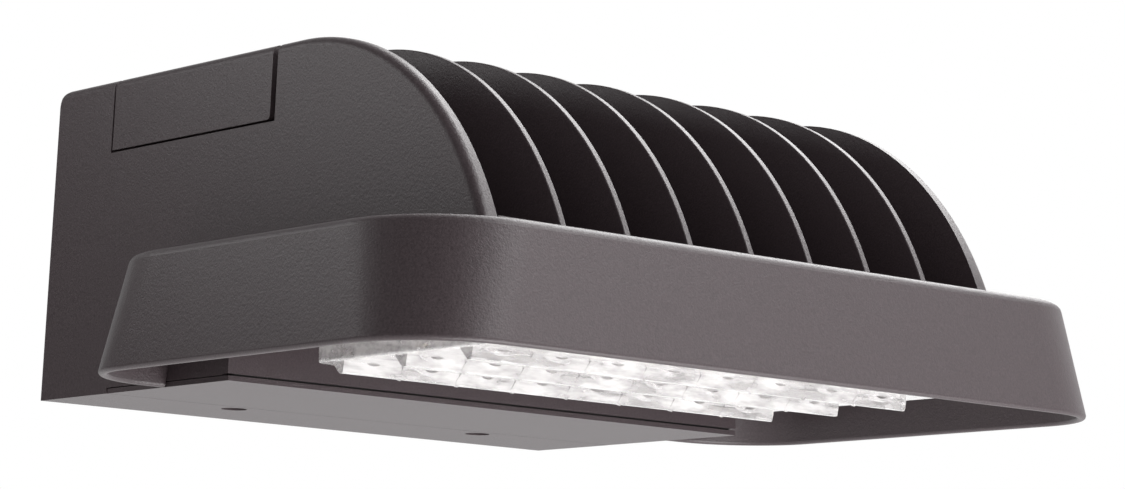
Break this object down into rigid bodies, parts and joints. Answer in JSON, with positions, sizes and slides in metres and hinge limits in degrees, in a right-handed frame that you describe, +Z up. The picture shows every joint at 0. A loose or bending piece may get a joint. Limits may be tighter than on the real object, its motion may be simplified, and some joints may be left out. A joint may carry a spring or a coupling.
{
  "type": "wall pack light",
  "caption": "LED wall pack light with a finned die-cast housing, flared skirt, prism lens bars, a top access door and a tilting hang-on wall bracket.",
  "frame": {"origin": "centre of the wall bracket's screw pattern, on the wall plane", "axes": "+Y into the wall, so the light stands out towards -Y; +Z up; +X to the right for someone facing the wall"},
  "size_m": [0.4068, 0.3467, 0.144],
  "materials": {
    "bronze_powder_coat": "fine-textured dark bronze powder coat on die-cast aluminium",
    "zinc_plated_steel": "bright zinc plating",
    "stainless_steel": "plain stainless",
    "green_steel": "green dyed zinc",
    "black_rubber": "matt moulded rubber",
    "grey_silicone": "soft matt silicone",
    "white_board": "white solder mask on an aluminium core",
    "led_phosphor": "yellow phosphor under clear silicone",
    "white_nylon": "moulded nylon",
    "clear_acrylic": "clear moulded acrylic",
    "white_enamel_case": "white potted case",
    "black_plastic": "moulded plastic",
    "lead_insulation": "flexible insulation"
  },
  "bodies": {
    "wall_bracket": {"wall_bracket": "zinc_plated_steel", "hinge_rod": "zinc_plated_steel", "ground_screw": "green_steel"},
    "luminaire": {"housing": "bronze_powder_coat", "wall_gasket": "black_rubber", "lock_screws": "stainless_steel", "lock_screw_clips": "zinc_plated_steel", "heat_sink": "bronze_powder_coat", "heat_sink_gasket": "grey_silicone", "heat_sink_screws": "zinc_plated_steel", "thermal_pad": "grey_silicone", "lamp_tray": "bronze_powder_coat", "tray_screws": "stainless_steel", "led_board": "white_board", "led_chips": "led_phosphor", "board_screws": "zinc_plated_steel", "board_connector": "white_nylon", "lens": "clear_acrylic", "lens_gasket": "grey_silicone", "lens_screws": "stainless_steel", "bottom_cover": "bronze_powder_coat", "cover_gasket": "black_rubber", "cover_screws": "zinc_plated_steel", "led_driver": "white_enamel_case", "driver_screws": "zinc_plated_steel", "terminal_block": "white_nylon", "surge_protector": "black_plastic", "partition_screws": "zinc_plated_steel", "supply_grommet": "black_rubber", "lead_grommet": "black_rubber", "tray_grommet": "black_rubber", "led_leads": "lead_insulation", "driver_input_leads": "lead_insulation", "surge_leads": "lead_insulation", "door_gasket": "black_rubber", "door_hinge_pins": "stainless_steel"},
    "access_door": {"access_door": "bronze_powder_coat", "door_screws": "stainless_steel", "door_screw_clips": "zinc_plated_steel"}
  },
  "joints": [
    {"name": "housing_tilt", "type": "hinge", "parent": "wall_bracket", "child": "luminaire", "pos_m": [0, -0.008, 0.064], "axis": [-1, 0, 0], "range_deg": [0, 55]},
    {"name": "access_door_swing", "type": "hinge", "parent": "luminaire", "child": "access_door", "pos_m": [0, -0.0495, 0.068], "axis": [-1, 0, 0], "range_deg": [0, 95]}
  ]
}
